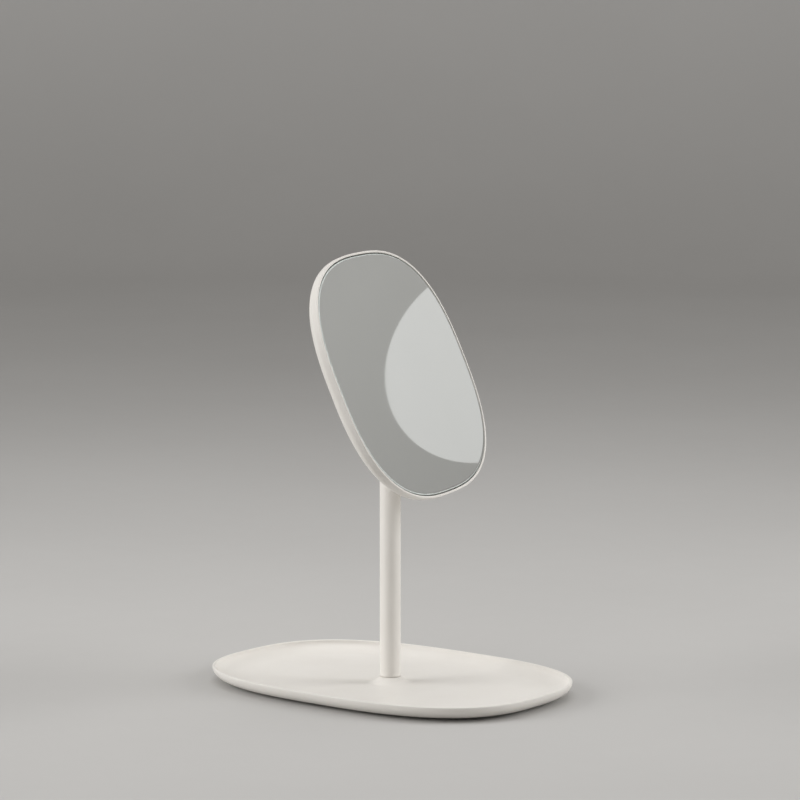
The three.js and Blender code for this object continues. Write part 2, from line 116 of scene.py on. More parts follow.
SWIVEL_PIN_RADIUS = 3.5 * MM
RUNNING_FIT = 0.08 * MM
WASHER_STACK = 2.2 * MM
DISC_LOW = bush_high.z + GAP
DISC_HIGH = DISC_LOW + 3.2 * MM
THREAD_RADIUS = 2.9 * MM
THREAD_PITCH = 1.0 * MM
EYE_RADIUS = 5.8 * MM
EYE_HALF_WIDTH = 2.6 * MM
EAR_RADIUS = 5.6 * MM
EAR_THICKNESS = 1.8 * MM
EAR_INNER = EYE_HALF_WIDTH + 1.0 * MM
EAR_OUTER = EAR_INNER + EAR_THICKNESS
EAR_SPREAD_DOWN = 2 * MM
EAR_SPREAD_UP = 4 * MM
HINGE_BOLT_RADIUS = 2.5 * MM
HINGE_BOLT_PITCH = 0.8 * MM
HINGE_HEAD_RADIUS = 4.6 * MM
SPRING_STACK = 1.3 * MM
SPRING_RADIUS = 4.8 * MM
NUT_CORNER_RADIUS = 4.6 * MM
NUT_HEIGHT = 3.6 * MM

# Mirror head, along its own X, out of the glass from the pivot.
GLASS_FRONT = 20 * MM
GLASS_THICKNESS = 4 * MM
GLASS_CENTRE_UP = 21.8 * MM
PAN_BACK = 11 * MM
PAN_FRONT = 20.3 * MM
PAN_LIP = 1.5 * MM
PAN_FILLET_RUN = 9 * MM
PAN_FILLET_RISE = 6 * MM
PAN_LIP_ROUND = 0.5 * MM

# The bracket's plate, about the pivot, and its screws.
PLATE_FRONT = PAN_BACK - 0.15 * MM
PLATE_BACK = PLATE_FRONT - 1.6 * MM
PLATE_HALF_WIDTH = 17 * MM
PLATE_DOWN = -10 * MM
PLATE_UP = 30 * MM
PLATE_CORNER = 4 * MM
SCREW_PLACES = [(y, z) for z in (-4 * MM, 24 * MM) for y in (-12 * MM, 12 * MM)]
SCREW_HEAD_RADIUS = 3.5 * MM
SCREW_SHANK = 1.9 * MM
SCREW_PITCH = 0.7 * MM
SCREW_HOLE = SCREW_SHANK + 0.25 * MM
SCREW_TIP = 15.4 * MM

TILT_REST = math.radians(22.9)
SWIVEL_REST = math.atan2(tilt_axis.x, -tilt_axis.y)
SWIVEL_FRAME = Matrix.Rotation(SWIVEL_REST, 4, "Z")
HEAD_FRAME = SWIVEL_FRAME @ Matrix.Translation(pivot) @ Matrix.Rotation(-TILT_REST, 4, "Y")

# Faces round a piece: the wide dishes, round pieces that show, fasteners and holes.
DISH_STEPS = 288
ROUND_STEPS = 96
STEM_STEPS = 128
FASTENER_STEPS = 64
HOLE_STEPS = 48

# ------------------------------------------------------------------ materials

# Nearly all of a noise texture's values lie between these two.
NOISE_LOW = 0.3
NOISE_HIGH = 0.7


class Shader:
    """A node material with one Principled BSDF, textured in the object's own coordinates, in metres."""

    def __init__(self, name):
        self.material = bpy.data.materials.new(name)
        self.material.use_nodes = True
        self.tree = self.material.node_tree
        self.principled = self.tree.nodes["Principled BSDF"]
        self.place = self.tree.nodes.new("ShaderNodeTexCoord").outputs["Object"]

    def set(self, **values):
        for name, value in values.items():
            self.principled.inputs[name.replace("_", " ")].default_value = value

    def noise(self, scale, detail=2.0, roughness=0.5, place=None):
        node = self.tree.nodes.new("ShaderNodeTexNoise")
        node.inputs["Scale"].default_value = scale
        node.inputs["Detail"].default_value = detail
        node.inputs["Roughness"].default_value = roughness
        self.tree.links.new(place or self.place, node.inputs["Vector"])
        return node.outputs["Fac"]

    def stretched_noise(self, scales):
        """Noise with its own scale along each axis."""
        mapping = self.tree.nodes.new("ShaderNodeMapping")
        mapping.inputs["Scale"].default_value = scales
        self.tree.links.new(self.place, mapping.inputs["Vector"])
        return self.noise(1.0, place=mapping.outputs["Vector"])

    def cells(self, scale):
        node = self.tree.nodes.new("ShaderNodeTexVoronoi")
        node.inputs["Scale"].default_value = scale
        self.tree.links.new(self.place, node.inputs["Vector"])
        return node.outputs["Distance"]

    def ramp(self, value, low, high, start=NOISE_LOW, end=NOISE_HIGH):
        """Turns a texture's value into a colour between two, given as (red, green, blue)."""
        node = self.tree.nodes.new("ShaderNodeValToRGB")
        first, last = node.color_ramp.elements
        first.position = start
        first.color = (*low, 1)
        last.position = end
        last.color = (*high, 1)
        self.tree.links.new(value, node.inputs["Fac"])
        return node.outputs["Color"]

    def span(self, value, low, high):
        """Turns a texture's value into a number between two."""
        node = self.tree.nodes.new("ShaderNodeMapRange")
        node.inputs["From Min"].default_value = NOISE_LOW
        node.inputs["From Max"].default_value = NOISE_HIGH
        node.inputs["To Min"].default_value = low
        node.inputs["To Max"].default_value = high
        self.tree.links.new(value, node.inputs["Value"])
        return node.outputs["Result"]

    def drive(self, socket, output):
        self.tree.links.new(output, self.principled.inputs[socket])

    def bump(self, height, strength, distance, under=None):
        node = self.tree.nodes.new("ShaderNodeBump")
        node.inputs["Strength"].default_value = strength
        node.inputs["Distance"].default_value = distance
        self.tree.links.new(height, node.inputs["Height"])
        if under is not None:
            self.tree.links.new(under, node.inputs["Normal"])
        self.tree.links.new(node.outputs["Normal"], self.principled.inputs["Normal"])
        return node.outputs["Normal"]


def powder_coat():
    """Satin warm-white powder coat: a faint orange peel with finer grain on it."""
    s = Shader("powder_coat")
    s.set(Metallic=0.0, IOR=1.5)
    s.drive("Base Color", s.ramp(s.noise(35, 3), (0.775, 0.748, 0.706), (0.80, 0.775, 0.735)))
    s.drive("Roughness", s.span(s.noise(600, 2), 0.36, 0.44))
    peel = s.bump(s.noise(900, 1.5), 0.10, 0.12 * MM)
    s.bump(s.noise(4200, 2), 0.12, 0.03 * MM, under=peel)
    return s.material


def silvering():
    """Silvered glass seen from the front: a clean reflection with a trace of green."""
    s = Shader("silvering")
    s.set(Metallic=1.0)
    s.drive("Base Color", s.ramp(s.noise(12, 2), (0.885, 0.91, 0.897), (0.905, 0.928, 0.915)))
    s.drive("Roughness", s.span(s.noise(28, 4, 0.6), 0.006, 0.022))
    return s.material


def ground_edge():
    """The glass's ground and polished arris."""
    s = Shader("ground_edge")
    s.set(Metallic=0.0, IOR=1.52)
    s.drive("Base Color", s.ramp(s.noise(220, 2), (0.62, 0.68, 0.66), (0.80, 0.84, 0.82)))
    s.drive("Roughness", s.span(s.noise(1800, 2), 0.12, 0.26))
    s.bump(s.stretched_noise((600, 600, 3000)), 0.08, 0.02 * MM)
    return s.material


def glass_side():
    """The glass's side, looked into through its thickness: dark grey-green."""
    s = Shader("glass_side")
    s.set(Metallic=0.0, IOR=1.52)
    s.drive("Base Color", s.ramp(s.noise(160, 2), (0.035, 0.055, 0.048), (0.07, 0.10, 0.088)))
    s.drive("Roughness", s.span(s.noise(900, 2), 0.10, 0.22))
    return s.material


def backing_paint():
    """Grey protective paint on the back of the silvering."""
    s = Shader("backing_paint")
    s.set(Metallic=0.0)
    s.drive("Base Color", s.ramp(s.noise(90, 3), (0.16, 0.17, 0.175), (0.20, 0.21, 0.215)))
    s.drive("Roughness", s.span(s.noise(500, 2), 0.50, 0.62))
    s.bump(s.noise(700, 2), 0.15, 0.05 * MM)
    return s.material


def pad_rubber():
    """Non-slip rubber with a fine pebbled face."""
    s = Shader("pad_rubber")
    s.set(Metallic=0.0, IOR=1.5)
    s.drive("Base Color", s.ramp(s.noise(60, 3), (0.030, 0.029, 0.028), (0.048, 0.046, 0.044)))
    s.drive("Roughness", s.span(s.noise(300, 3), 0.72, 0.86))
    pebbles = s.bump(s.cells(900), 0.5, 0.18 * MM)
    s.bump(s.noise(3500, 2), 0.25, 0.04 * MM, under=pebbles)
    return s.material


def closed_foam():
    """Closed-cell foam sheet."""
    s = Shader("foam")
    s.set(Metallic=0.0)
    cells = s.cells(1400)
    s.drive("Base Color", s.ramp(cells, (0.045, 0.045, 0.048), (0.085, 0.085, 0.09), start=0.1, end=0.6))
    s.drive("Roughness", s.span(s.noise(200, 2), 0.88, 0.97))
    s.bump(cells, 0.6, 0.25 * MM)
    return s.material


def zinc_steel():
    """Bright zinc plate on turned and stamped steel, with fine turning marks."""
    s = Shader("zinc_steel")
    s.set(Metallic=1.0)
    s.drive("Base Color", s.ramp(s.noise(260, 2), (0.60, 0.612, 0.625), (0.665, 0.67, 0.668)))
    s.drive("Roughness", s.span(s.noise(900, 3), 0.22, 0.31))
    s.bump(s.stretched_noise((500, 500, 6500)), 0.05, 0.01 * MM)
    return s.material


def nylon():
    """Natural nylon: slightly translucent, matt, with moulding grain."""
    s = Shader("nylon")
    s.set(Metallic=0.0, IOR=1.53, Subsurface_Weight=0.08, Subsurface_Scale=2 * MM)
    s.drive("Base Color", s.ramp(s.noise(140, 2), (0.74, 0.72, 0.66), (0.80, 0.78, 0.73)))
    s.drive("Roughness", s.span(s.noise(700, 2), 0.42, 0.54))
    s.bump(s.noise(2600, 2), 0.15, 0.03 * MM)
    return s.material


MATERIALS = {
    "powder_coat": powder_coat(),
    "pad_rubber": pad_rubber(),
    "zinc_steel": zinc_steel(),
    "nylon": nylon(),
    "foam": closed_foam(),
}
GLASS_MATERIALS = (silvering(), ground_edge(), glass_side(), backing_paint())

# ------------------------------------------------------------------ mesh helpers

# Closer than TOUCH is the same place, and an edge shorter than SLIVER is closed up.
TOUCH = 1e-7
SLIVER = 0.005 * MM


def outline_radius(outline, inset, angle):
    """Distance from the centre to a superellipse, drawn in by an inset, in one direction."""
    half_length, half_width, power = outline
    across = abs(math.cos(angle)) / (half_length - inset)
    along = abs(math.sin(angle)) / (half_width - inset)
    return (across ** power + along ** power) ** (-1 / power)


def ellipse_arc(centre, semi_axes, start, end, steps):
    """Points along an ellipse from one angle to another, in degrees."""
    points = []
    for i in range(steps + 1):
        t = math.radians(start + (end - start) * i / steps)
        points.append((centre[0] + semi_axes[0] * math.cos(t), centre[1] + semi_axes[1] * math.sin(t)))
    return points


# A turn this small stays as it is, and a corner's arc takes at most this share of each side.
SMOOTH_TURN = math.radians(12)
CORNER_SHARE = 0.45


def rounded(profile, radius, steps=4, closed=True):
    """A profile with each corner replaced by a small arc; the ends of an open one stay put."""
    points = [Vector(point) for point in profile]
    count = len(points)
    result = []
    for i, corner in enumerate(points):
        if not closed and i in (0, count - 1):
            result.append(tuple(corner))
            continue
        before = points[i - 1] - corner
        after = points[(i + 1) % count] - corner
        turn = math.pi - before.angle(after)
        if turn < SMOOTH_TURN:
            result.append(tuple(corner))
            continue
        room = CORNER_SHARE * min(before.length, after.length)
        reach = min(radius * math.tan(turn / 2), room)
        start = corner + before.normalized() * reach
        end = corner + after.normalized() * reach
        for k in range(steps + 1):
            t = k / steps
            result.append(tuple(start * (1 - t) ** 2 + corner * (2 * t * (1 - t)) + end * t ** 2))
    return result


def new_object(name, data):
    thing = bpy.data.objects.new(name, data)
    bpy.context.scene.collection.objects.link(thing)
    return thing


def from_bmesh(name, bm):
    bmesh.ops.remove_doubles(bm, verts=bm.verts, dist=TOUCH)
    bmesh.ops.recalc_face_normals(bm, faces=bm.faces)
    for face in bm.faces:
        face.smooth = True
    mesh = bpy.data.meshes.new(name)
    bm.to_mesh(mesh)
    bm.free()
    return new_object(name, mesh)


def revolve(name, profile, steps=ROUND_STEPS, radius_at=None):
    """Turns a profile about Z. One that doesn't start on the axis is joined end to end.
    radius_at may draw each ring out to another outline or a thread."""
    bm = bmesh.new()
    rings = []
    for radius, height in profile:
        if radius < TOUCH:
            rings.append([bm.verts.new((0, 0, height))])
            continue
        ring = []
        for i in range(steps):
            angle = 2 * math.pi * i / steps
            reach = radius_at(radius, height, angle) if radius_at else radius
            ring.append(bm.verts.new((reach * math.cos(angle), reach * math.sin(angle), height)))
        rings.append(ring)
    pairs = list(zip(rings, rings[1:]))
    if len(rings[0]) > 1:
        pairs.append((rings[-1], rings[0]))
    for low, high in pairs:
        for i in range(steps):
            j = (i + 1) % steps
            if len(low) == 1:
                bm.faces.new((low[0], high[j], high[i]))
            elif len(high) == 1:
                bm.faces.new((low[i], low[j], high[0]))
            else:
                bm.faces.new((low[i], low[j], high[j], high[i]))
    return from_bmesh(name, bm)


def dish(name, profile, outline, round_radius=0.0):
    """Turns a profile and draws its rings out to a superellipse outline, past a radius that stays round."""
    def reach(radius, height, angle):
        if radius <= round_radius + TOUCH:
            return radius
        return outline_radius(outline, outline[0] - radius, angle)
    return revolve(name, profile, DISH_STEPS, reach)


def slab(name, outer, holes, low, high):
    """A flat shape with holes, filled and thickened along Z. Loops are lists of (x, y)."""
    bm = bmesh.new()
    edges = []
    for loop in [outer, *holes]:
        verts = [bm.verts.new((x, y, low)) for x, y in loop]
        edges += [bm.edges.new((verts[i - 1], verts[i])) for i in range(len(verts))]
    bmesh.ops.triangle_fill(bm, edges=edges, use_beauty=True)
    raised = bmesh.ops.extrude_face_region(bm, geom=bm.faces[:])
    moved = [item for item in raised["geom"] if isinstance(item, bmesh.types.BMVert)]
    bmesh.ops.translate(bm, verts=moved, vec=(0, 0, high - low))
    return from_bmesh(name, bm)


def circle(x, y, radius, steps=HOLE_STEPS):
    turn = 2 * math.pi / steps
    return [(x + radius * math.cos(i * turn), y + radius * math.sin(i * turn)) for i in range(steps)]


def hexagon(radius):
    return circle(0, 0, radius, 6)


def rounded_rectangle(left, low, right, high, corner):
    centres = [(right - corner, low + corner), (right - corner, high - corner),
               (left + corner, high - corner), (left + corner, low + corner)]
    points = []
    for centre, start in zip(centres, (-90, 0, 90, 180)):
        points += ellipse_arc(centre, (corner, corner), start, start + 90, steps=8)
    return points


def apply_modifiers(piece):
    depsgraph = bpy.context.evaluated_depsgraph_get()
    mesh = bpy.data.meshes.new_from_object(piece.evaluated_get(depsgraph))
    old = piece.data
    piece.modifiers.clear()
    piece.data = mesh
    bpy.data.meshes.remove(old)
    return piece


def close_slivers(piece):
    """Merges what a cut or a bevel leaves closer together than any edge that shows."""
    bm = bmesh.new()
    bm.from_mesh(piece.data)
    bmesh.ops.remove_doubles(bm, verts=bm.verts, dist=SLIVER)
    bmesh.ops.dissolve_degenerate(bm, edges=bm.edges, dist=SLIVER)
    bm.to_mesh(piece.data)
    bm.free()
    return piece


def boolean(piece, other, operation):
    """Joins or cuts one piece with another, which is used up."""
    modifier = piece.modifiers.new("boolean", "BOOLEAN")
    modifier.operation = operation
    modifier.solver = "EXACT"
    modifier.object = other
    apply_modifiers(piece)
    bpy.data.objects.remove(other)
    return close_slivers(piece)


def bevel(piece, width):
    """Rounds every edge that turns by more than 40 degrees."""
    modifier = piece.modifiers.new("bevel", "BEVEL")
    modifier.width = width
    modifier.segments = 3
    modifier.limit_method = "ANGLE"
    modifier.angle_limit = math.radians(40)
    return close_slivers(apply_modifiers(piece))


def place(piece, matrix):
    piece.data.transform(matrix)
    return piece


def turned_to(x_axis, y_axis, z_axis):
    """A matrix that takes the three axes to these."""
    return Matrix((x_axis, y_axis, z_axis)).transposed().to_4x4()


# Pieces made about Z: to lie along the hinge, or to face out of the glass with their length across.
ALONG_HINGE = turned_to((1, 0, 0), (0, 0, 1), (0, -1, 0))
FACING = turned_to((0, 1, 0), (0, 0, 1), (1, 0, 0))


def set_material(mesh, material):
    mesh.materials.clear()
    mesh.materials.append(material)


def finish_piece(piece, node, body, slot):
    """Gives a piece its slot's material, its shading and its body, and hides the CAD node that it stands
    for.
    """
    if slot in MATERIALS:
        set_material(piece.data, MATERIALS[slot])
    for polygon in piece.data.polygons:
        polygon.use_smooth = True
    weighted = piece.modifiers.new("weighted_normals", "WEIGHTED_NORMAL")
    weighted.mode = "FACE_AREA_WITH_ANGLE"
    weighted.keep_sharp = True
    weighted.weight = 80
    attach(piece, body)
    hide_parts(node)


def thread(low, high, radius, pitch):
    """A vee thread that fades out at both ends: its points on a profile, and its form for revolve."""
    depth = 0.5 * pitch
    steps = max(2, round((high - low) / (pitch / 6)))
    points = [(radius, low + (high - low) * i / steps) for i in range(steps + 1)]

    def form(own, height, angle):
        if abs(own - radius) > TOUCH or not low - TOUCH < height < high + TOUCH:
            return own
        phase = (height / pitch - angle / (2 * math.pi)) % 1.0
        fade = min(1.0, (height - low) / pitch, (high - height) / pitch)
        return own - depth * abs(2 * phase - 1) * max(0.0, fade)
    return points, form


def cut_socket(screw, radius, face, depth):
    """Cuts a hexagon socket up into a head, from its face at the bottom."""
    return boolean(screw, slab("socket", hexagon(radius), [], face - OVERSHOOT, face + depth), "DIFFERENCE")


# ------------------------------------------------------------------ tray, pad and stem


def make_tray():
    rim = TRAY[0]
    wall_top = RIM_TOP - RIM_ROUND
    outer_wall = ellipse_arc((rim - OUTER_FILLET_RUN, wall_top),
                             (OUTER_FILLET_RUN, wall_top - PAD_TOP), -90, 0, steps=28)
    rim_edge = ellipse_arc((rim - RIM_EDGE / 2, wall_top), (RIM_EDGE / 2, RIM_ROUND), 0, 180, steps=12)
    inner_wall = ellipse_arc((rim - INNER_FILLET_RUN, wall_top),
                             (INNER_FILLET_RUN - RIM_EDGE, wall_top - FLOOR_TOP), 0, -90, steps=30)
    sweep = math.radians(COLLAR_TOP_SLOPE)
    collar_run = (COLLAR_BASE_RADIUS - COLLAR_TOP_RADIUS) / math.sin(sweep)
    collar_rise = (COLLAR_TOP - FLOOR_TOP) / (1 - math.cos(sweep))
    collar = ellipse_arc((COLLAR_BASE_RADIUS, FLOOR_TOP + collar_rise), (collar_run, collar_rise),
                         270, 270 - COLLAR_TOP_SLOPE, steps=16)
    collar_lip = ellipse_arc((COLLAR_TOP_RADIUS - COLLAR_LIP, COLLAR_TOP - COLLAR_LIP),
                             (COLLAR_LIP, COLLAR_LIP), 90 - COLLAR_TOP_SLOPE, 90, steps=3)
    recess_top = COLLAR_TOP - SHEET
    underside_edge = rim - OUTER_FILLET_RUN - 2 * MM
    recess = rounded([
        (SCREW_HOLE_RADIUS, COLLAR_TOP), (SCREW_HOLE_RADIUS, recess_top), (RECESS_RADIUS, recess_top),
        (RECESS_RADIUS + RECESS_STEP, FLOOR_TOP), (RECESS_RADIUS + RECESS_SLOPE, PAD_TOP),
        (underside_edge, PAD_TOP)], radius=0.8 * MM, steps=5, closed=False)
    collar_ring = COLLAR_BASE_RADIUS + SUPPORT_RING
    floor = [(rim - INNER_FILLET_RUN - SUPPORT_RING, FLOOR_TOP), (collar_ring, FLOOR_TOP)]
    profile = recess + outer_wall + rim_edge[1:] + inner_wall[1:] + floor + collar[:-1] + collar_lip
    return dish("tray", profile, TRAY, round_radius=collar_ring)


def make_pad():
    edge = pad_high.x
    profile = rounded([(0, 0), (edge, 0), (edge, PAD_TOP), (0, PAD_TOP)], radius=0.35 * MM, closed=False)
    return dish("pad", profile, TRAY)


finish_piece(make_tray(), "base_tray", "base", "powder_coat")
finish_piece(make_pad(), "base_pad", "base", "pad_rubber")


def make_stem():
    """The tube, with the groove at its foot that shows as a joint line."""
    bore = STEM_RADIUS - STEM_WALL
    neck = STEM_RADIUS - STEM_GROOVE
    groove_top = COLLAR_TOP + STEM_GROOVE
    profile = rounded([
        (bore, COLLAR_TOP), (neck, COLLAR_TOP), (neck, groove_top), (STEM_RADIUS, groove_top),
        (STEM_RADIUS, STEM_END), (bore, STEM_END)], radius=0.2 * MM)
    return revolve("stem", profile, STEM_STEPS)


finish_piece(make_stem(), "stem_tube", "base", "powder_coat")


def make_stem_screw():
    low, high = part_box("stem_screw")
    head_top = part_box("stem_washer")[0].z
    tip_taper = 0.8 * MM
    points, form = thread(head_top + 1.0 * MM, high.z - tip_taper, THREAD_RADIUS, THREAD_PITCH)
    profile = rounded([(0, low.z), (high.x, low.z), (high.x, head_top), (THREAD_RADIUS, head_top),
                       points[0]], radius=0.35 * MM, closed=False)
    profile += points[1:] + [(THREAD_RADIUS - tip_taper, high.z), (0, high.z)]
    screw = revolve("foot_screw", profile, FASTENER_STEPS, form)
    return cut_socket(screw, radius=2.0 * MM, face=low.z, depth=1.4 * MM)


finish_piece(make_stem_screw(), "stem_screw", "base", "zinc_steel")


def make_bush():
    bore = SWIVEL_PIN_RADIUS + RUNNING_FIT
    return revolve("bush", rounded([
        (bore, bush_low.z), (PLUG_RADIUS, bush_low.z), (PLUG_RADIUS, STEM_END), (STEM_RADIUS, STEM_END),
        (STEM_RADIUS, bush_high.z), (bore, bush_high.z)], radius=0.25 * MM))


finish_piece(make_bush(), "swivel_bush", "base", "nylon")

# ------------------------------------------------------------------ swivel head


def make_swivel_head():
    """The pin and its thread, the disc on the stem's top, and the upright eye that grows out of it."""
    low = swivel_low.z
    pin_low = bush_low.z - WASHER_STACK
    tip_taper = 0.5 * MM
    run_out = 0.3 * MM
    points, form = thread(low + tip_taper, pin_low - run_out, THREAD_RADIUS, THREAD_PITCH)
    profile = [(0, low), (THREAD_RADIUS - tip_taper, low)] + points
    profile += rounded([
        (THREAD_RADIUS, pin_low), (SWIVEL_PIN_RADIUS, pin_low), (SWIVEL_PIN_RADIUS, DISC_LOW),
        (STEM_RADIUS, DISC_LOW), (STEM_RADIUS, DISC_HIGH), (0, DISC_HIGH)],
        radius=0.45 * MM, steps=5, closed=False)
    casting = revolve("swivel_casting", profile, radius_at=form)

    # The eye's foot is sunk into the disc. A point partway up each side keeps its faces even.
    foot = DISC_HIGH - 1.0 * MM - pivot.z
    partway = foot + 2.6 * MM
    crown = ellipse_arc((0, 0), (EYE_RADIUS, EYE_RADIUS), 0, 180, steps=36)
    outline = [(EYE_RADIUS, foot), (EYE_RADIUS, partway)] + crown
    outline += [(-EYE_RADIUS, partway), (-EYE_RADIUS, foot)]
    bore = circle(0, 0, HINGE_BOLT_RADIUS + RUNNING_FIT)
    eye = slab("eye", outline, [bore], -EYE_HALF_WIDTH, EYE_HALF_WIDTH)
    bevel(eye, 0.35 * MM)
    place(eye, Matrix.Translation((0, 0, pivot.z)) @ ALONG_HINGE)
    boolean(casting, eye, "UNION")
    return place(casting, SWIVEL_FRAME)


finish_piece(make_swivel_head(), "swivel_head", "swivel", "powder_coat")


def make_hinge_washer(side, low, high):
    bore = HINGE_BOLT_RADIUS + GAP
    outside = EAR_RADIUS - 0.2 * MM
    washer = revolve(f"friction_ring_{side}", rounded([
        (bore, low), (outside, low), (outside, high), (bore, high)], radius=0.15 * MM, steps=3))
    return place(washer, SWIVEL_FRAME @ Matrix.Translation(pivot) @ ALONG_HINGE)


near = EYE_HALF_WIDTH + GAP
far = EAR_INNER - GAP
for side, low, high in (("left", -far, -near), ("right", near, far)):
    finish_piece(make_hinge_washer(side, low, high), f"hinge_washer_{side}", "swivel", "nylon")

# ------------------------------------------------------------------ hinge on the head


def make_bracket():
    """A plate with two ears, whose feet are sunk a little into it."""
    outline = rounded_rectangle(-PLATE_HALF_WIDTH, PLATE_DOWN, PLATE_HALF_WIDTH, PLATE_UP, PLATE_CORNER)
    holes = [circle(y, z, SCREW_HOLE) for y, z in SCREW_PLACES]
    bracket = slab("bracket", outline, holes, PLATE_BACK, PLATE_FRONT)
    place(bracket, FACING)
    foot = PLATE_FRONT - 0.4 * MM
    round_end = ellipse_arc((0, 0), (EAR_RADIUS, EAR_RADIUS), 90, 270, steps=36)
    ear_outline = round_end + [(foot, -EAR_RADIUS - EAR_SPREAD_DOWN), (foot, EAR_RADIUS + EAR_SPREAD_UP)]
    bolt_hole = circle(0, 0, HINGE_BOLT_RADIUS + 0.15 * MM)
    for low in (EAR_INNER, -EAR_OUTER):
        ear = slab("ear", ear_outline, [bolt_hole], low, low + EAR_THICKNESS)
        boolean(bracket, place(ear, ALONG_HINGE), "UNION")
    bevel(bracket, 0.3 * MM)
    return place(bracket, HEAD_FRAME)


finish_piece(make_bracket(), "hinge_bracket", "mirror_head", "powder_coat")


def make_hinge_bolt():
    tip = EAR_OUTER + SPRING_STACK + NUT_HEIGHT + 1.0 * MM
    tip_taper = 0.5 * MM
    under = -EAR_OUTER - GAP
    brim = under - 0.9 * MM
    dome_height = 1.7 * MM
    points, form = thread(EAR_OUTER + GAP, tip - tip_taper, HINGE_BOLT_RADIUS, HINGE_BOLT_PITCH)
    dome = ellipse_arc((0, brim), (HINGE_HEAD_RADIUS, dome_height), -90, 0, steps=14)
    shank = rounded([(HINGE_HEAD_RADIUS, brim), (HINGE_HEAD_RADIUS, under), (HINGE_BOLT_RADIUS, under),
                     points[0]], radius=0.2 * MM, steps=3, closed=False)
    profile = dome + shank[1:] + points[1:] + [(HINGE_BOLT_RADIUS - tip_taper, tip), (0, tip)]
    bolt = revolve("pivot_bolt", profile, steps=72, radius_at=form)
    cut_socket(bolt, radius=1.7 * MM, face=brim - dome_height, depth=1.5 * MM)
    return place(bolt, HEAD_FRAME @ ALONG_HINGE)


def make_disc_spring():
    low = EAR_OUTER + GAP
    high = EAR_OUTER + SPRING_STACK
    bore = HINGE_BOLT_RADIUS + GAP
    flat = 0.4 * MM
    sheet = 0.6 * MM
    spring = revolve("pivot_spring", rounded([
        (bore, low), (bore + flat, low), (SPRING_RADIUS, high - sheet), (SPRING_RADIUS, high),
        (SPRING_RADIUS - flat, high), (bore, low + sheet)], radius=0.1 * MM, steps=3))
    return place(spring, HEAD_FRAME @ ALONG_HINGE)


def make_lock_nut():
    """Hexagon nut with turned-down corners and the round collar of a locking nut."""
    low = EAR_OUTER + SPRING_STACK + GAP
    high = EAR_OUTER + SPRING_STACK + NUT_HEIGHT
    hexagon_top = high - 1.0 * MM
    bore = HINGE_BOLT_RADIUS + GAP
    past_corners = 4.85 * MM
    low_face = 4.15 * MM
    high_face = 4.0 * MM
    collar = 3.6 * MM
    collar_end = 3.3 * MM
    nut = slab("pivot_nut", hexagon(NUT_CORNER_RADIUS), [], low, high)
    turned = revolve("turned", [
        (0, low), (low_face, low), (past_corners, low + 0.4 * MM), (past_corners, hexagon_top - 0.45 * MM),
        (high_face, hexagon_top), (collar, high - 0.3 * MM), (collar_end, high), (0, high)])
    boolean(nut, turned, "INTERSECT")
    drill = revolve("drill", [(0, low - OVERSHOOT), (bore, low - OVERSHOOT), (bore, high + OVERSHOOT),
                              (0, high + OVERSHOOT)], HOLE_STEPS)
    boolean(nut, drill, "DIFFERENCE")
    return place(nut, HEAD_FRAME @ ALONG_HINGE)


finish_piece(make_hinge_bolt(), "hinge_bolt", "mirror_head", "zinc_steel")
finish_piece(make_disc_spring(), "hinge_spring_washer", "mirror_head", "zinc_steel")
finish_piece(make_lock_nut(), "hinge_nut", "mirror_head", "zinc_steel")


def make_bracket_screw(name, y, z):
    under = PLATE_BACK - GAP
    brim = under - 0.6 * MM
    dome_height = 1.4 * MM
    edge = 0.1 * MM
    tip_taper = 0.5 * MM
    points, form = thread(PLATE_FRONT, SCREW_TIP - tip_taper, SCREW_SHANK, SCREW_PITCH)
    profile = ellipse_arc((0, brim), (SCREW_HEAD_RADIUS, dome_height), -90, 0, steps=12)
    profile += [(SCREW_HEAD_RADIUS, under - edge), (SCREW_HEAD_RADIUS - edge, under), (SCREW_SHANK, under)]
    profile += points + [(SCREW_SHANK - tip_taper, SCREW_TIP), (0, SCREW_TIP)]
    screw = revolve(name, profile, FASTENER_STEPS, form)
    cut_socket(screw, radius=1.3 * MM, face=brim - dome_height, depth=1.1 * MM)
    return place(screw, HEAD_FRAME @ Matrix.Translation((0, y, z)) @ FACING)


for number, (y, z) in enumerate(SCREW_PLACES, 1):
    screw = make_bracket_screw(f"plate_screw_{number}", y, z)
    finish_piece(screw, f"bracket_screw_{number}", "mirror_head", "zinc_steel")

# ------------------------------------------------------------------ mirror head

# At the glass's centre, with X along the glass and Z out of it.
HEAD_FACE = HEAD_FRAME @ Matrix.Translation((0, 0, GLASS_CENTRE_UP)) @ FACING


def make_pan():
    edge = PAN[0]
    fillet_in = edge - PAN_FILLET_RUN
    wall_low = PAN_BACK + PAN_FILLET_RISE
    floor = PAN_BACK + PAN_LIP
    outer_wall = ellipse_arc((fillet_in, wall_low), (PAN_FILLET_RUN, PAN_FILLET_RISE), -90, 0, steps=26)
    lip = ellipse_arc((edge - PAN_LIP / 2, PAN_FRONT - PAN_LIP_ROUND), (PAN_LIP / 2, PAN_LIP_ROUND),
                      0, 180, steps=12)
    inner_wall = ellipse_arc((fillet_in, wall_low), (PAN_FILLET_RUN - PAN_LIP, PAN_FILLET_RISE - PAN_LIP),
                             0, -90, steps=18)
    flat = fillet_in - SUPPORT_RING
    profile = [(0, PAN_BACK), (flat, PAN_BACK)] + outer_wall + lip + inner_wall
    profile += [(flat, floor), (0, floor)]
    pan = dish("pan", profile, PAN)
    for y, z in SCREW_PLACES:
        drill = slab("drill", circle(y, z - GLASS_CENTRE_UP, SCREW_HOLE), [],
                     PAN_BACK - OVERSHOOT, floor + OVERSHOOT)
        boolean(pan, drill, "DIFFERENCE")
    return place(pan, HEAD_FACE)


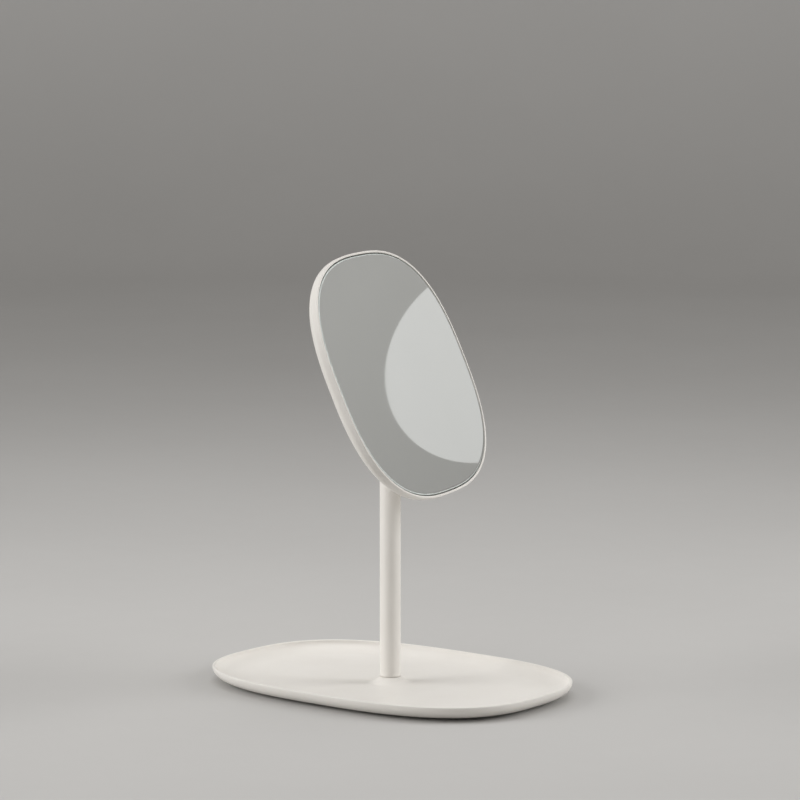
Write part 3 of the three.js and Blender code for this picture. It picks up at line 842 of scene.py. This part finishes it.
def make_glass():
    """Front silvering, ground arris, dark side and painted back, each with its own material."""
    edge = GLASS[0]
    back = GLASS_FRONT - GLASS_THICKNESS
    arris_width = 0.8 * MM
    arris_depth = 0.4 * MM
    back_arris = 0.3 * MM
    ring = 1.0 * MM
    front_edge = edge - arris_width
    profile = [(0, back), (edge - ring, back), (edge - back_arris, back), (edge, back + back_arris),
               (edge, GLASS_FRONT - arris_depth), (front_edge, GLASS_FRONT),
               (front_edge - ring, GLASS_FRONT), (0, GLASS_FRONT)]
    glass = dish("looking_glass", profile, GLASS)
    for material in GLASS_MATERIALS:
        glass.data.materials.append(material)
    # A face takes the material after each of these levels that it lies behind.
    levels = (GLASS_FRONT - TOUCH, GLASS_FRONT - arris_depth, back + TOUCH)
    for polygon in glass.data.polygons:
        polygon.material_index = sum(polygon.center.z < level for level in levels)
    return place(glass, HEAD_FACE)


finish_piece(make_pan(), "mirror_pan", "mirror_head", "powder_coat")
finish_piece(make_glass(), "mirror_glass", "mirror_head", "mirror_glass")

# ------------------------------------------------------------------ carried-over CAD nodes

# Sealed inside other pieces: these keep their CAD shapes.
CARRIED = {
    "stem_foot_plug": "zinc_steel",
    "stem_washer": "zinc_steel",
    "swivel_wear_washer": "nylon",
    "swivel_disc_spring": "zinc_steel",
    "swivel_lock_nut": "zinc_steel",
    "foam_sheet": "foam",
    "nut_plate": "zinc_steel",
}
for node, slot in CARRIED.items():
    set_material(frame["nodes"][node].data, MATERIALS[slot])

# ------------------------------------------------------------------ stage, light and camera

FLOOR_RADIUS = 2.9
FLOOR_BEND = 0.9
WALL_TOP = 3.2
WALL_GLOW = 0.2
WALL_GLOW_RISE = 1.1
STUDIO_WHITE = (1.0, 0.985, 0.965, 1)

CAMERA_AZIMUTH = math.radians(37.67)
CAMERA_PITCH = math.radians(7.11)
CAMERA_PLACE = (1.3034, -1.6780, 0.4526)
CAMERA_LENS = 150.34
LIT_PLACE = (0, 0, 0.12)
GLASS_CENTRE = HEAD_FACE @ Vector((0, 0, GLASS_FRONT))
SOFTBOX_SPREAD = 75
GLOSS_SHARE = 0.25


def stage_material():
    """Matt pale paper, whose wall glows softly from behind like a light tent, more so higher up."""
    s = Shader("pale_floor")
    s.set(Metallic=0.0, Emission_Color=STUDIO_WHITE)
    s.drive("Base Color", s.ramp(s.noise(3, 2), (0.50, 0.492, 0.48), (0.515, 0.507, 0.495)))
    s.drive("Roughness", s.span(s.noise(40, 2), 0.72, 0.78))
    height = s.tree.nodes.new("ShaderNodeSeparateXYZ")
    s.tree.links.new(s.place, height.inputs[0])
    glow = s.tree.nodes.new("ShaderNodeMapRange")
    glow.inputs["From Max"].default_value = WALL_GLOW_RISE
    glow.inputs["To Max"].default_value = WALL_GLOW
    s.tree.links.new(height.outputs["Z"], glow.inputs["Value"])
    s.drive("Emission Strength", glow.outputs["Result"])
    return s.material


def make_stage():
    """A flat floor that curves up into a wall all round."""
    bend = ellipse_arc((FLOOR_RADIUS, FLOOR_BEND), (FLOOR_BEND, FLOOR_BEND), -90, 0, steps=16)
    floor = revolve("studio_floor", [(0, 0)] + bend + [(FLOOR_RADIUS + FLOOR_BEND, WALL_TOP)])
    set_material(floor.data, stage_material())
    floor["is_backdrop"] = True


def seen_from_camera(right, away, up):
    """A place given to the right of the stem, away from the camera, and up."""
    return Matrix.Rotation(CAMERA_AZIMUTH, 3, "Z") @ Vector((right, away, up))


def seen_in_mirror(right, up, distance):
    """The real place of what the camera sees in the mirror, off its centre and beyond it."""
    normal = (HEAD_FACE.to_3x3() @ Vector((0, 0, 1))).normalized()
    sight = (GLASS_CENTRE - Vector(CAMERA_PLACE)).normalized()
    across = sight.cross(Vector((0, 0, 1))).normalized()
    offset = distance * sight + right * across + up * across.cross(sight)
    return GLASS_CENTRE + offset - 2 * offset.dot(normal) * normal


def area_light(name, at, towards, size, power, shape="RECTANGLE", spread=180, glossy=True):
    data = bpy.data.lights.new(name, "AREA")
    data.shape = shape
    data.size, data.size_y = size
    data.energy = power
    data.spread = math.radians(spread)
    light = new_object(name, data)
    light.location = at
    light.visible_camera = False
    light.visible_glossy = glossy
    light.rotation_mode = "QUATERNION"
    light.rotation_quaternion = (Vector(towards) - Vector(at)).to_track_quat("-Z", "Y")


def softbox(name, at, size, power):
    """Two lights in one place, of which gloss shows only the weaker, so no satin face blows out."""
    for part, share in (("matt", 1 - GLOSS_SHARE), ("gloss", GLOSS_SHARE)):
        area_light(f"{name}_{part}", at, LIT_PLACE, size, power * share,
                   spread=SOFTBOX_SPREAD, glossy=part == "gloss")


def make_lights():
    softbox("left_softbox", seen_from_camera(right=-1.9, away=-0.35, up=0.85), size=(1.3, 1.5), power=7.2)
    softbox("right_softbox", seen_from_camera(right=2.0, away=0.0, up=1.0), size=(1.1, 1.5), power=6.4)
    area_light("overhead", seen_from_camera(right=0.0, away=0.2, up=2.1), LIT_PLACE,
               size=(1.8, 1.8), power=12)
    # A dim round reflector, which the mirror shows beside the wall.
    area_light("reflector", seen_in_mirror(right=0.104, up=0.015, distance=2.0), GLASS_CENTRE,
               size=(0.275, 0.235), power=0.044, shape="ELLIPSE")
    world = bpy.data.worlds.new("studio")
    world.use_nodes = True
    background = world.node_tree.nodes["Background"]
    background.inputs["Color"].default_value = STUDIO_WHITE
    background.inputs["Strength"].default_value = 0.4
    bpy.context.scene.world = world


def make_camera():
    data = bpy.data.cameras.new("camera")
    data.lens = CAMERA_LENS
    data.sensor_width = 36
    data.clip_end = 50
    camera = new_object("camera", data)
    camera.location = CAMERA_PLACE
    camera.rotation_euler = (math.pi / 2 - CAMERA_PITCH, 0, CAMERA_AZIMUTH)
    bpy.context.scene.camera = camera


make_stage()
make_lights()
make_camera()
bpy.context.scene.view_settings.view_transform = "Standard"

# ------------------------------------------------------------------ size

low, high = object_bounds()
